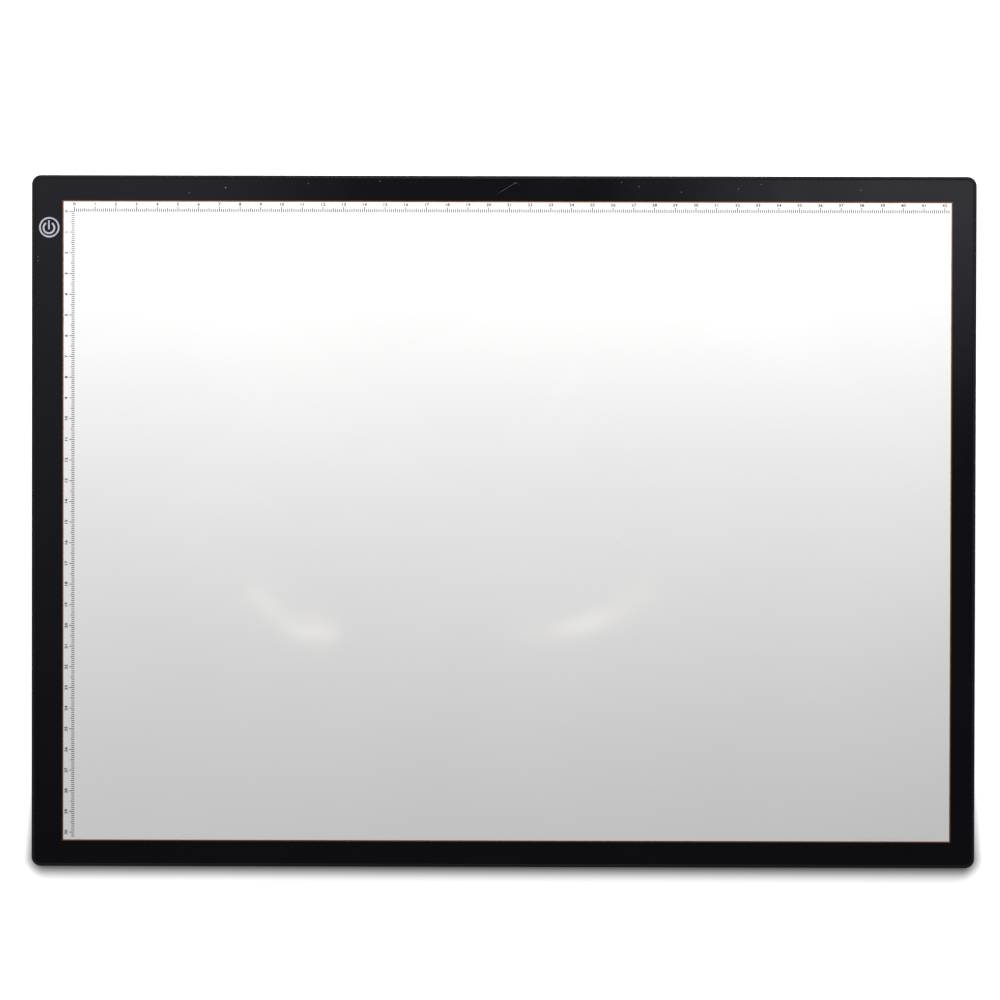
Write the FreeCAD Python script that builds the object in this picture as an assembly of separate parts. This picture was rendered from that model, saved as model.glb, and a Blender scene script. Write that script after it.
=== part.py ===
import FreeCAD, Part
import math
import os

# A3 LED tracing pad ("light box"), in millimetres.
# The origin is the centre of the footprint, on the plane that the feet stand on.
# +X runs along the long side to the user's right, +Y away from the user, +Z up out of the work face.
# "far" and "near" are the +Y and -Y sides. The touch key is in the far left corner.

Vec = FreeCAD.Vector

# ---------------------------------------------------------------- driving dimensions

# casing
LENGTH = 456.0
WIDTH = 334.0
FOOT_HEIGHT = 1.0
BODY_HEIGHT = 7.0
CORNER_R = 4.5
WALL = 1.5
TOP_EDGE_R = 0.4
BOTTOM_EDGE_R = 0.7
LIP_EDGE_R = 0.25

# white window in the black border, as the widths of the four borders
BORDER_LEFT = 15.4
BORDER_RIGHT = 12.2
BORDER_FAR = 12.8
BORDER_NEAR = 12.9
EDGE_LINE = 0.6

# stack, from the rear cover up
COVER_T = 1.4
REFLECTOR_T = 0.2
GUIDE_T = 3.0
DIFFUSER_T = 0.25
TAPE_T = 0.1
PANEL_T = 2.0
PRINT_T = 0.1
LIP_ABOVE_PANEL = 0.1

# clearances
PANEL_GAP = 0.15
COVER_GAP = 0.2
TAPE_GAP = 0.3
SOCKET_GAP = 0.4
SCREW_HEAD_GAP = 0.1
FOOT_GAP = 0.2

# modelling allowances: how far a cutter runs past the face that it cuts, how far a rib is rooted
# in the wall beside it, and how far it is sunk into the roof over it
PAST = 1.0
ROOT = 0.5
SUNK = 0.1

# frame ribs: the seat ring is carried by an inner rib with a row of cells behind it
SEAT_T = 1.0
RIB = 1.2
LEDGE_LONG_SIDES = 5.0
LEDGE_RIGHT = 5.0
BAY_RIB = 1.0
BAY_WIDTH = 9.7
CELL_PITCH = 25.0
CELL_RIB = 1.0
FIRST_CELL_X = 6.0
FIRST_CELL_Y = 4.0
SEAT_CORNER_R = 0.8

# light source
STRIP_T = 0.8
STRIP_H = 3.0
STRIP_TAPE_T = 0.15
STRIP_RIGHT_END = 213.0
STRIP_LEFT_END = -220.0
LED_COUNT = 60
LED_PITCH = 7.0
LED_L = 3.0
LED_H = 1.4
LED_T = 0.8
LED_TO_GUIDE = 0.15
STRIP_SLOT_GAP = 0.3

# control board
BOARD_L = 66.0
BOARD_W = 9.0
BOARD_T = 0.8
BOARD_Y0 = 86.0
BOARD_Z0 = 3.0

# touch key, from the outer left and far edges to the key's centre
KEY_FROM_LEFT = 8.4
KEY_FROM_FAR = 25.4
KEY_HOLE_D = 9.0

# USB type C inlet in the left wall
USB_Y = 106.0
USB_W = 8.94
USB_H = 3.26
USB_L = 7.35
USB_WALL = 0.3
USB_RECESS = 0.2
USB_HOLE_GAP = 0.12

# cover screws: countersunk, self-tapping
SCREW_HEAD_D = 3.8
SCREW_SHANK_D = 1.7
SCREW_BOSS_D = 4.0
SCREW_FROM_WALL = 3.0
SCREW_CLEAR_D = 2.2
SCREW_SINK = 0.05
SCREW_POINT_L = 0.9
SCREW_POINT_D = 0.5

# rear cover: edge chamfer and the blank recess for a rating label
COVER_CHAMFER = 0.35
LABEL_X0 = -140.0
LABEL_L = 80.0
LABEL_W = 50.0
LABEL_DEPTH = 0.2
LABEL_CORNER_R = 3.0

# adhesive ring under the panel
PANEL_TAPE_W = 3.4

# wires: their bends, and the distance of their ends from the board's ends
WIRE_D = 0.9
WIRE_BEND = 2.5
WIRE_PAD_INSET = 2.2
WIRE_TURN_FROM = 6.0
WIRE_TURN_TO = 3.0
SOLDER_R = 0.75

# rubber feet
FOOT_D = 12.0
FOOT_POCKET = 0.5
FOOT_INSET_X = 23.0
FOOT_INSET_Y = 23.0
FOOT_EDGE_R = 0.4

# ---------------------------------------------------------------- derived values

HALF_L = LENGTH / 2
HALF_W = WIDTH / 2
Z_BODY = FOOT_HEIGHT
Z_TOP = FOOT_HEIGHT + BODY_HEIGHT
Z_COVER_TOP = Z_BODY + COVER_T
Z_GUIDE = Z_COVER_TOP + REFLECTOR_T
Z_DIFFUSER = Z_GUIDE + GUIDE_T
Z_PANEL_TOP = Z_TOP - LIP_ABOVE_PANEL
Z_PANEL = Z_PANEL_TOP - PANEL_T
Z_SEAT = Z_PANEL - TAPE_T
Z_ROOF = Z_SEAT - SEAT_T
Z_PRINT = Z_PANEL_TOP - PRINT_T

WINDOW = (-HALF_L + BORDER_LEFT, HALF_L - BORDER_RIGHT, -HALF_W + BORDER_NEAR, HALF_W - BORDER_FAR)

INNER_X = HALF_L - WALL
INNER_Y = HALF_W - WALL

# optic bay: the space inside the ribs that holds the light guide
BAY_RIB_X0 = -INNER_X + BAY_WIDTH
OPTIC_X0 = BAY_RIB_X0 + BAY_RIB
OPTIC_X1 = INNER_X - LEDGE_RIGHT
OPTIC_Y = INNER_Y - LEDGE_LONG_SIDES
FOAM_LEFT = 1.0
FOAM_RIGHT = 1.5
GUIDE_X0 = OPTIC_X0 + FOAM_LEFT
GUIDE_X1 = OPTIC_X1 - FOAM_RIGHT
LED_FACE_Y = OPTIC_Y - STRIP_TAPE_T - STRIP_T - LED_T
GUIDE_Y = LED_FACE_Y - LED_TO_GUIDE
STRIP_Z0 = (Z_GUIDE + Z_DIFFUSER) / 2 - STRIP_H / 2

BOARD_X0 = -INNER_X + 0.4
BOARD_X1 = BOARD_X0 + BOARD_W
BOARD_TOP = BOARD_Z0 + BOARD_T
KEY_X = -HALF_L + KEY_FROM_LEFT
KEY_Y = HALF_W - KEY_FROM_FAR
USB_X0 = -HALF_L + USB_RECESS
USB_X1 = USB_X0 + USB_L
USB_Z = (Z_COVER_TOP + Z_SEAT) / 2

SCREW_LINE_X = INNER_X - SCREW_FROM_WALL
SCREW_LINE_Y = INNER_Y - SCREW_FROM_WALL
SCREW_XS = (-200.0, -100.0, 0.0, 100.0, 200.0)
SCREW_SIDE_YS = (-75.0, 75.0)
SCREW_POINTS = [(x, side * SCREW_LINE_Y) for side in (-1, 1) for x in SCREW_XS]
SCREW_POINTS += [(side * SCREW_LINE_X, y) for side in (-1, 1) for y in SCREW_SIDE_YS]
SCREW_PILOT_TOP = Z_SEAT - 0.5
SCREW_TIP = SCREW_PILOT_TOP - 0.1

WIRE_XS = {
    "red": (BOARD_X0 + 5.9, STRIP_LEFT_END + 0.9),
    "black": (BOARD_X0 + 7.7, STRIP_LEFT_END + 2.5),
}

BOARD_SCREW_X = BOARD_X0 + 2.4
BOARD_SCREW_YS = (BOARD_Y0 + 3.2, BOARD_Y0 + BOARD_L - 3.2)
BOARD_SCREW_SHANK_D = 1.4
BOARD_SCREW_HEAD_D = 3.0
BOARD_SCREW_HEAD_T = 0.5


# ---------------------------------------------------------------- helpers


def box(x0, x1, y0, y1, z0, z1):
    return Part.makeBox(x1 - x0, y1 - y0, z1 - z0, Vec(x0, y0, z0))


def cylinder(x, y, z0, z1, diameter):
    return Part.makeCylinder(diameter / 2, z1 - z0, Vec(x, y, z0))


def rounded_face(x0, x1, y0, y1, z, r):
    """Rectangle with rounded corners, as a flat face at height z."""
    k = r * (1 - math.sqrt(0.5))
    arcs = [
        ((x0, y0 + r), (x0 + k, y0 + k), (x0 + r, y0)),
        ((x1 - r, y0), (x1 - k, y0 + k), (x1, y0 + r)),
        ((x1, y1 - r), (x1 - k, y1 - k), (x1 - r, y1)),
        ((x0 + r, y1), (x0 + k, y1 - k), (x0, y1 - r)),
    ]
    edges = []
    for i, arc in enumerate(arcs):
        start, middle, end = [Vec(px, py, z) for px, py in arc]
        following = arcs[(i + 1) % 4][0]
        edges.append(Part.Arc(start, middle, end).toShape())
        edges.append(Part.LineSegment(end, Vec(following[0], following[1], z)).toShape())
    return Part.Face(Part.Wire(edges))


def rounded_plate(x0, x1, y0, y1, z0, z1, r):
    return rounded_face(x0, x1, y0, y1, z0, r).extrude(Vec(0, 0, z1 - z0))


def centred_plate(half_x, half_y, z0, z1, r):
    return rounded_plate(-half_x, half_x, -half_y, half_y, z0, z1, r)


def edges_where(shape, test):
    """Edges whose every vertex and middle point pass the test."""
    found = []
    for edge in shape.Edges:
        middle = edge.valueAt((edge.FirstParameter + edge.LastParameter) / 2)
        points = [v.Point for v in edge.Vertexes] + [middle]
        if all(test(p) for p in points):
            found.append(edge)
    return found


def fuse(shapes):
    joined = shapes[0].multiFuse(shapes[1:]) if len(shapes) > 1 else shapes[0]
    return joined.removeSplitter()


def tube(points, diameter, bend):
    """Round wire along straight runs joined by tangent arcs of radius bend."""
    path = [Vec(*p) for p in points]
    edges = []
    start = path[0]
    for before, corner, after in zip(path, path[1:], path[2:]):
        into = (corner - before).normalize()
        out = (after - corner).normalize()
        turn = into.getAngle(out)
        reach = bend * math.tan(turn / 2)
        first = corner - into * reach
        last = corner + out * reach
        centre_way = (out - into).normalize()
        depth = bend / math.cos(turn / 2) - bend
        edges.append(Part.LineSegment(start, first).toShape())
        edges.append(Part.Arc(first, corner + centre_way * depth, last).toShape())
        start = last
    edges.append(Part.LineSegment(start, path[-1]).toShape())
    spine = Part.Wire(edges)
    ring = Part.Wire(Part.makeCircle(diameter / 2, path[0], path[1] - path[0]))
    return spine.makePipeShell([ring], True, False)


def group(solids):
    """Separate solids kept side by side in one node."""
    return Part.makeCompound(solids)


def save(name, shape):
    if not shape.isValid():
        raise ValueError(name + " is not a valid shape")
    shape.exportStep("parts/" + name + ".step")
    print(name, len(shape.Solids), "solid(s)", round(shape.Volume / 1000.0, 3), "cm3")


# ---------------------------------------------------------------- casing


def outer_wall():
    """Wall of the frame, rounded at its top and bottom outer edges and at the lip's inner edge."""
    body = centred_plate(HALF_L, HALF_W, Z_BODY, Z_TOP, CORNER_R)
    body = body.makeFillet(TOP_EDGE_R, edges_where(body, lambda p: p.z > Z_TOP - 0.01))
    body = body.makeFillet(BOTTOM_EDGE_R, edges_where(body, lambda p: p.z < Z_BODY + 0.01))
    core = centred_plate(INNER_X, INNER_Y, Z_BODY - PAST, Z_TOP + PAST, CORNER_R - WALL)
    wall = body.cut(core)

    def on_lip(p):
        inside = abs(p.x) < INNER_X + 0.01 and abs(p.y) < INNER_Y + 0.01
        return inside and p.z > Z_TOP - 0.01

    return wall.makeFillet(LIP_EDGE_R, edges_where(wall, on_lip))


def ring(x0, x1, y0, y1, z0, z1, inner):
    """Ring from just inside the wall's inner face to the inner rectangle (x0, x1, y0, y1)."""
    outer = centred_plate(INNER_X + ROOT, INNER_Y + ROOT, z0, z1, CORNER_R - WALL + ROOT)
    hole = rounded_plate(x0, x1, y0, y1, z0 - PAST, z1 + PAST, inner)
    return outer.cut(hole)


def seat_and_ribs():
    """Seat ring under the panel and the rib round the optic bay."""
    seat = ring(OPTIC_X0, OPTIC_X1, -OPTIC_Y, OPTIC_Y, Z_ROOF, Z_SEAT, SEAT_CORNER_R)
    outer = box(BAY_RIB_X0, OPTIC_X1 + RIB, -OPTIC_Y - RIB, OPTIC_Y + RIB, Z_COVER_TOP, Z_ROOF + SUNK)
    hole = box(OPTIC_X0, OPTIC_X1, -OPTIC_Y, OPTIC_Y, Z_COVER_TOP - PAST, Z_ROOF + PAST)
    return [seat, outer.cut(hole)]


def cell_ribs():
    """Short cross ribs that tie the inner rib to the wall on the far, near and right sides."""
    ribs = []
    z0 = Z_COVER_TOP
    z1 = Z_ROOF + SUNK
    count_x = int((OPTIC_X1 - BAY_RIB_X0) // CELL_PITCH)
    for i in range(count_x + 1):
        x = BAY_RIB_X0 + FIRST_CELL_X + i * CELL_PITCH
        for side in (-1, 1):
            y0, y1 = sorted((side * (OPTIC_Y + ROOT), side * (INNER_Y + ROOT)))
            ribs.append(box(x, x + CELL_RIB, y0, y1, z0, z1))
    count_y = int(2 * OPTIC_Y // CELL_PITCH)
    for i in range(count_y + 1):
        y = -OPTIC_Y + FIRST_CELL_Y + i * CELL_PITCH
        ribs.append(box(OPTIC_X1 + ROOT, INNER_X + ROOT, y, y + CELL_RIB, z0, z1))
    return ribs


def boss_web(x, y):
    """Thin web from a cover screw boss to the nearest wall."""
    half = CELL_RIB / 2
    if abs(y) == SCREW_LINE_Y:
        y0, y1 = sorted((y, math.copysign(INNER_Y + ROOT, y)))
        return box(x - half, x + half, y0, y1, Z_COVER_TOP, Z_ROOF + SUNK)
    x0, x1 = sorted((x, math.copysign(INNER_X + ROOT, x)))
    return box(x0, x1, y - half, y + half, Z_COVER_TOP, Z_ROOF + SUNK)


def bosses():
    """Screw bosses for the cover and, hanging from the roof, for the control board."""
    posts = []
    for x, y in SCREW_POINTS:
        posts.append(cylinder(x, y, Z_COVER_TOP, Z_ROOF + SUNK, SCREW_BOSS_D))
        posts.append(boss_web(x, y))
    for y in BOARD_SCREW_YS:
        posts.append(cylinder(BOARD_SCREW_X, y, BOARD_TOP, Z_ROOF + SUNK, SCREW_BOSS_D))
    return posts


def stadium(x0, x1, y, z, width, height):
    """Solid along X with a stadium section, width along Y and height along Z."""
    r = height / 2
    flat = width - height
    middle = box(x0, x1, y - flat / 2, y + flat / 2, z - r, z + r)
    ends = [
        Part.makeCylinder(r, x1 - x0, Vec(x0, y + side * flat / 2, z), Vec(1, 0, 0)) for side in (-1, 1)
    ]
    return fuse([middle] + ends)


def frame_openings():
    """Everything that is cut out of the frame."""
    cuts = []
    for x, y in SCREW_POINTS:
        cuts.append(cylinder(x, y, Z_COVER_TOP - PAST, SCREW_PILOT_TOP, SCREW_SHANK_D))
    for y in BOARD_SCREW_YS:
        cuts.append(cylinder(BOARD_SCREW_X, y, BOARD_TOP - PAST, SCREW_PILOT_TOP, BOARD_SCREW_SHANK_D))
    cuts.append(cylinder(KEY_X, KEY_Y, Z_ROOF - PAST, Z_SEAT + PAST, KEY_HOLE_D))
    hole_w = USB_W + 2 * USB_HOLE_GAP
    hole_h = USB_H + 2 * USB_HOLE_GAP
    cuts.append(stadium(-HALF_L - PAST, -INNER_X + PAST, USB_Y, USB_Z, hole_w, hole_h))
    half = USB_W / 2 + SOCKET_GAP
    cuts.append(box(-INNER_X, USB_X1 + SOCKET_GAP, USB_Y - half, USB_Y + half, Z_COVER_TOP, Z_SEAT + PAST))
    for side in (-1, 1):
        y0, y1 = sorted((side * (LED_FACE_Y - STRIP_SLOT_GAP), side * OPTIC_Y))
        x0 = STRIP_LEFT_END - STRIP_SLOT_GAP
        x1 = OPTIC_X0 + SEAT_CORNER_R
        cuts.append(box(x0, x1, y0, y1, Z_COVER_TOP - PAST, Z_SEAT + PAST))
    return cuts


def frame():
    solid = fuse([outer_wall()] + seat_and_ribs() + cell_ribs() + bosses())
    solid = solid.cut(Part.makeCompound(frame_openings()))
    return solid.removeSplitter()


def rear_cover():
    """Cover plate with countersunk holes, foot pockets and a blank recess for a label."""
    x = INNER_X - COVER_GAP
    y = INNER_Y - COVER_GAP
    plate = centred_plate(x, y, Z_BODY, Z_COVER_TOP, CORNER_R - WALL - COVER_GAP)
    plate = plate.makeChamfer(COVER_CHAMFER, edges_where(plate, lambda p: p.z < Z_BODY + 0.01))
    sink_r = SCREW_HEAD_D / 2 + SCREW_HEAD_GAP
    clear_r = SCREW_CLEAR_D / 2
    cuts = []
    for x, y in SCREW_POINTS:
        cuts.append(Part.makeCone(sink_r, clear_r, sink_r - clear_r, Vec(x, y, Z_BODY)))
        cuts.append(cylinder(x, y, Z_BODY + SUNK, Z_COVER_TOP + PAST, SCREW_CLEAR_D))
    for x, y in foot_points().values():
        cuts.append(cylinder(x, y, Z_BODY - PAST, Z_BODY + FOOT_POCKET, FOOT_D + 2 * FOOT_GAP))
    label_x1 = LABEL_X0 + LABEL_L
    half = LABEL_W / 2
    label_z1 = Z_BODY + LABEL_DEPTH
    cuts.append(rounded_plate(LABEL_X0, label_x1, -half, half, Z_BODY - PAST, label_z1, LABEL_CORNER_R))
    return plate.cut(Part.makeCompound(cuts))


def foot_points():
    x = HALF_L - FOOT_INSET_X
    y = HALF_W - FOOT_INSET_Y
    return {
        "foot_far_left": (-x, y),
        "foot_far_right": (x, y),
        "foot_near_left": (-x, -y),
        "foot_near_right": (x, -y),
    }


def rubber_foot(x, y):
    foot = cylinder(x, y, 0.0, Z_BODY + FOOT_POCKET, FOOT_D)
    return foot.makeFillet(FOOT_EDGE_R, edges_where(foot, lambda p: p.z < 0.01))


# ---------------------------------------------------------------- front


def panel_outline(z0, z1):
    return centred_plate(INNER_X - PANEL_GAP, INNER_Y - PANEL_GAP, z0, z1, CORNER_R - WALL - PANEL_GAP)


def window_block(grow, z0, z1):
    x0, x1, y0, y1 = WINDOW
    return box(x0 - grow, x1 + grow, y0 - grow, y1 + grow, z0, z1)


def front_panel():
    """Acrylic sheet; the window stands up by the thickness of the print round it."""
    return fuse([panel_outline(Z_PANEL, Z_PRINT), window_block(0, Z_PRINT - ROOT, Z_PANEL_TOP)])


def border_print():
    """Black print from the panel's edge to the line round the window."""
    opening = window_block(EDGE_LINE, Z_PRINT - PAST, Z_PANEL_TOP + PAST)
    return panel_outline(Z_PRINT, Z_PANEL_TOP).cut(opening)


def edge_line_print():
    """Thin line that frames the window."""
    line = window_block(EDGE_LINE, Z_PRINT, Z_PANEL_TOP)
    return line.cut(window_block(0, Z_PRINT - PAST, Z_PANEL_TOP + PAST))


def panel_tape():
    """Adhesive ring between the seat and the panel, open at the touch key and the power inlet."""
    x = INNER_X - TAPE_GAP
    y = INNER_Y - TAPE_GAP
    outer = centred_plate(x, y, Z_SEAT, Z_PANEL, CORNER_R - WALL - TAPE_GAP)
    hole = centred_plate(x - PANEL_TAPE_W, y - PANEL_TAPE_W, Z_SEAT - PAST, Z_PANEL + PAST, ROOT)
    touch = cylinder(KEY_X, KEY_Y, Z_SEAT - PAST, Z_PANEL + PAST, KEY_HOLE_D)
    half = USB_W / 2 + SOCKET_GAP
    socket = box(-HALF_L, USB_X1 + SOCKET_GAP, USB_Y - half, USB_Y + half, Z_SEAT - PAST, Z_PANEL + PAST)
    return outer.cut(hole).cut(touch).cut(socket)


# ---------------------------------------------------------------- optical stack


def reflector_sheet():
    return box(GUIDE_X0, GUIDE_X1, -LED_FACE_Y, LED_FACE_Y, Z_COVER_TOP, Z_GUIDE)


def light_guide_plate():
    return box(GUIDE_X0, GUIDE_X1, -GUIDE_Y, GUIDE_Y, Z_GUIDE, Z_DIFFUSER)


def diffuser_sheet():
    inset = 0.5
    return box(
        GUIDE_X0 + inset,
        GUIDE_X1 - inset,
        -GUIDE_Y + inset,
        GUIDE_Y - inset,
        Z_DIFFUSER,
        Z_DIFFUSER + DIFFUSER_T,
    )


def foam_strip(x0, x1):
    reach = GUIDE_Y - 8.0
    return box(x0, x1, -reach, reach, Z_GUIDE, Z_DIFFUSER)


# ---------------------------------------------------------------- light source


def side_box(side, x0, x1, near, far, z0, z1):
    """Box beside the far (+1) or near (-1) rib; near and far are distances from the X axis."""
    y0, y1 = sorted((side * near, side * far))
    return box(x0, x1, y0, y1, z0, z1)


def strip_tape(side):
    face = OPTIC_Y - STRIP_TAPE_T
    return side_box(side, OPTIC_X0, STRIP_RIGHT_END, face, OPTIC_Y, STRIP_Z0, STRIP_Z0 + STRIP_H)


def led_strip(side):
    back = OPTIC_Y - STRIP_TAPE_T
    z1 = STRIP_Z0 + STRIP_H
    return side_box(side, STRIP_LEFT_END, STRIP_RIGHT_END, back - STRIP_T, back, STRIP_Z0, z1)


def led_package(side, x):
    """Side-emitting LED with a shallow cup in the face towards the light guide."""
    back = OPTIC_Y - STRIP_TAPE_T - STRIP_T
    z = STRIP_Z0 + STRIP_H / 2
    cup_inset = 0.35
    cup_depth = 0.12
    body = side_box(side, x - LED_L / 2, x + LED_L / 2, LED_FACE_Y, back, z - LED_H / 2, z + LED_H / 2)
    cup = side_box(
        side,
        x - LED_L / 2 + cup_inset,
        x + LED_L / 2 - cup_inset,
        LED_FACE_Y - PAST,
        LED_FACE_Y + cup_depth,
        z - LED_H / 2 + cup_inset,
        z + LED_H / 2 - cup_inset,
    )
    return body.cut(cup)


def leds(side):
    first = -LED_PITCH * (LED_COUNT - 1) / 2
    return group([led_package(side, first + i * LED_PITCH) for i in range(LED_COUNT)])


# ---------------------------------------------------------------- electronics


def control_board():
    y1 = BOARD_Y0 + BOARD_L
    board = rounded_plate(BOARD_X0, BOARD_X1, BOARD_Y0, y1, BOARD_Z0, BOARD_TOP, 0.8)
    notch = box(BOARD_X0 - PAST, USB_X1 + 0.2, USB_Y - 4.7, USB_Y + 4.7, BOARD_Z0 - PAST, BOARD_TOP + PAST)
    cuts = [notch]
    hole_d = BOARD_SCREW_SHANK_D + 0.3
    for y in BOARD_SCREW_YS:
        cuts.append(cylinder(BOARD_SCREW_X, y, BOARD_Z0 - PAST, BOARD_TOP + PAST, hole_d))
    return board.cut(Part.makeCompound(cuts))


def usb_socket_shell():
    """Drawn steel shell, closed at the back, with four tabs that rest on the board."""
    shell = stadium(USB_X0, USB_X1, USB_Y, USB_Z, USB_W, USB_H)
    inside = stadium(
        USB_X0 - PAST, USB_X1 - USB_WALL, USB_Y, USB_Z, USB_W - 2 * USB_WALL, USB_H - 2 * USB_WALL
    )
    tabs = []
    tab_l = 1.1
    tab_reach = 1.5
    for x in (USB_X0 + 2.6, USB_X1 - 1.7):
        for side in (-1, 1):
            y0, y1 = sorted((USB_Y + side * (USB_W / 2 - 0.1), USB_Y + side * (USB_W / 2 + tab_reach)))
            tabs.append(box(x, x + tab_l, y0, y1, BOARD_TOP, BOARD_TOP + 0.3))
    return fuse([shell.cut(inside)] + [tab.cut(inside) for tab in tabs])


def usb_socket_tongue():
    """Moulded block at the back of the shell with the thin tongue that the plug goes round."""
    block_l = 2.3
    tongue_w = 6.69
    tongue_t = 0.7
    back = USB_X1 - USB_WALL
    block = stadium(back - block_l, back, USB_Y, USB_Z, USB_W - 2 * USB_WALL, USB_H - 2 * USB_WALL)
    tongue = box(
        USB_X0 + 0.8,
        back - block_l + 0.5,
        USB_Y - tongue_w / 2,
        USB_Y + tongue_w / 2,
        USB_Z - tongue_t / 2,
        USB_Z + tongue_t / 2,
    )
    return fuse([block, tongue])


def usb_socket_contacts():
    """Twelve contacts on each side of the tongue."""
    pitch = 0.5
    width = 0.25
    thick = 0.05
    surface = 0.35
    bars = []
    for i in range(12):
        y = USB_Y + (i - 5.5) * pitch
        for z0 in (USB_Z + surface, USB_Z - surface - thick):
            bars.append(box(USB_X0 + 1.3, USB_X0 + 4.6, y - width / 2, y + width / 2, z0, z0 + thick))
    return group(bars)


def chip(x, y, length, width, height, leads, lead_pitch):
    """Moulded package with its long axis along Y and gull-wing leads on both sides."""
    standoff = 0.1
    z0 = BOARD_TOP + standoff
    body = box(x - width / 2, x + width / 2, y - length / 2, y + length / 2, z0, BOARD_TOP + height)
    body = body.makeChamfer(0.1, edges_where(body, lambda p: p.z > BOARD_TOP + height - 0.01))
    solids = [body]
    lead_w = 0.35
    lead_out = 0.55
    for i in range(leads):
        ly = y + (i - (leads - 1) / 2) * lead_pitch
        for side in (-1, 1):
            inner = x + side * width / 2
            outer = inner + side * lead_out
            x0, x1 = sorted((inner, outer))
            foot_x0, foot_x1 = sorted((outer, outer - side * 0.3))
            arm = box(x0, x1, ly - lead_w / 2, ly + lead_w / 2, z0 + 0.25, z0 + 0.4)
            foot = box(foot_x0, foot_x1, ly - lead_w / 2, ly + lead_w / 2, BOARD_TOP, z0 + 0.4)
            solids.append(fuse([arm, foot]))
    return group(solids)


def boost_inductor():
    """Shielded power inductor: square ferrite body with an end plate on each side."""
    x = BOARD_X0 + 5.0
    y = BOARD_Y0 + 31.0
    half = 1.9
    plate_t = 0.3
    height = 0.9
    plate_height = 0.6
    inner = half - plate_t
    body = box(x - half, x + half, y - inner, y + inner, BOARD_TOP, BOARD_TOP + height)
    low = box(x - half, x + half, y - half, y - inner, BOARD_TOP, BOARD_TOP + plate_height)
    high = box(x - half, x + half, y + inner, y + half, BOARD_TOP, BOARD_TOP + plate_height)
    return group([body, low, high])


def chip_part(x, y, length, width, height):
    """Two-ended chip part: a body between two end caps, each a fifth of its length."""
    x0 = x - width / 2
    x1 = x + width / 2
    cap = length * 0.2
    ends = [y - length / 2, y - length / 2 + cap, y + length / 2 - cap, y + length / 2]
    return [box(x0, x1, y0, y1, BOARD_TOP, BOARD_TOP + height) for y0, y1 in zip(ends, ends[1:])]


def ceramic_capacitors():
    spots = [(7.6, 18.5), (7.6, 27.0), (1.2, 31.0), (1.2, 40.0)]
    solids = []
    for dx, dy in spots:
        solids += chip_part(BOARD_X0 + dx, BOARD_Y0 + dy, 2.0, 1.25, 0.85)
    return group(solids)


def chip_resistors():
    spots = [(7.9, 36.0), (7.9, 38.6), (7.9, 41.2), (1.0, 44.0), (1.0, 46.6), (7.9, 50.0)]
    solids = []
    for dx, dy in spots:
        solids += chip_part(BOARD_X0 + dx, BOARD_Y0 + dy, 1.6, 0.8, 0.45)
    return group(solids)


def schottky_diode():
    x = BOARD_X0 + 7.4
    y = BOARD_Y0 + 12.0
    solids = [box(x - 0.8, x + 0.8, y - 1.4, y + 1.4, BOARD_TOP + 0.05, BOARD_TOP + 0.9)]
    for end in (y - 1.6, y + 1.6):
        solids.append(box(x - 0.5, x + 0.5, end - 0.2, end + 0.2, BOARD_TOP, BOARD_TOP + 0.25))
    return group(solids)


def touch_spring():
    """Bent strip contact: a foot on the board, a sloping arm and a flat pad under the panel."""
    width = 3.0
    thick = 0.2
    low = BOARD_TOP
    high = Z_PANEL
    side_view = [
        (-3.2, low),
        (1.9, low),
        (2.9, low + 0.5),
        (0.0, high),
        (-3.0, high),
        (-3.0, high - thick),
        (-0.1, high - thick),
        (2.55, low + 0.5),
        (1.8, low + thick),
        (-3.2, low + thick),
    ]
    points = [Vec(KEY_X - width / 2, KEY_Y + dy, z) for dy, z in side_view]
    return Part.Face(Part.makePolygon(points + [points[0]])).extrude(Vec(width, 0, 0))


# ---------------------------------------------------------------- wires and solder


def wire_route(side, board_x, strip_x):
    """From the board's far (+1) or near (-1) end to the strip end that reaches into the bay."""
    z = BOARD_TOP + WIRE_D / 2
    board_end = BOARD_Y0 + BOARD_L if side > 0 else BOARD_Y0
    start = board_end - side * WIRE_PAD_INSET
    face = side * (OPTIC_Y - STRIP_TAPE_T - STRIP_T)
    return [
        (board_x, start, z),
        (board_x, face - side * WIRE_TURN_FROM, z),
        (strip_x, face - side * WIRE_TURN_TO, z),
        (strip_x, face, z),
    ]


def wire(side, colour):
    return tube(wire_route(side, *WIRE_XS[colour]), WIRE_D, WIRE_BEND)


def solder_joints():
    """A low mound round each wire end, on the board and on the strips."""
    clear = 2 * SOLDER_R
    joints = []
    for side in (-1, 1):
        for colour, (board_x, strip_x) in WIRE_XS.items():
            route = wire_route(side, board_x, strip_x)
            pad_y = route[0][1]
            under = box(board_x - clear, board_x + clear, pad_y - clear, pad_y + clear, Z_BODY, BOARD_TOP)
            on_board = Part.makeSphere(SOLDER_R, Vec(board_x, pad_y, BOARD_TOP)).cut(under)
            face = route[-1][1]
            y0, y1 = sorted((face, face + side * clear))
            behind = box(strip_x - clear, strip_x + clear, y0, y1, Z_BODY, Z_SEAT)
            on_strip = Part.makeSphere(SOLDER_R, Vec(*route[-1])).cut(behind)
            metal = wire(side, colour)
            joints.append(on_board.cut(metal))
            joints.append(on_strip.cut(metal))
    return group([solid for joint in joints for solid in joint.Solids])


# ---------------------------------------------------------------- fasteners


def cross_recess(x, y, z0, z1, span, slot):
    return [
        box(x - span / 2, x + span / 2, y - slot / 2, y + slot / 2, z0, z1),
        box(x - slot / 2, x + slot / 2, y - span / 2, y + span / 2, z0, z1),
    ]


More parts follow.
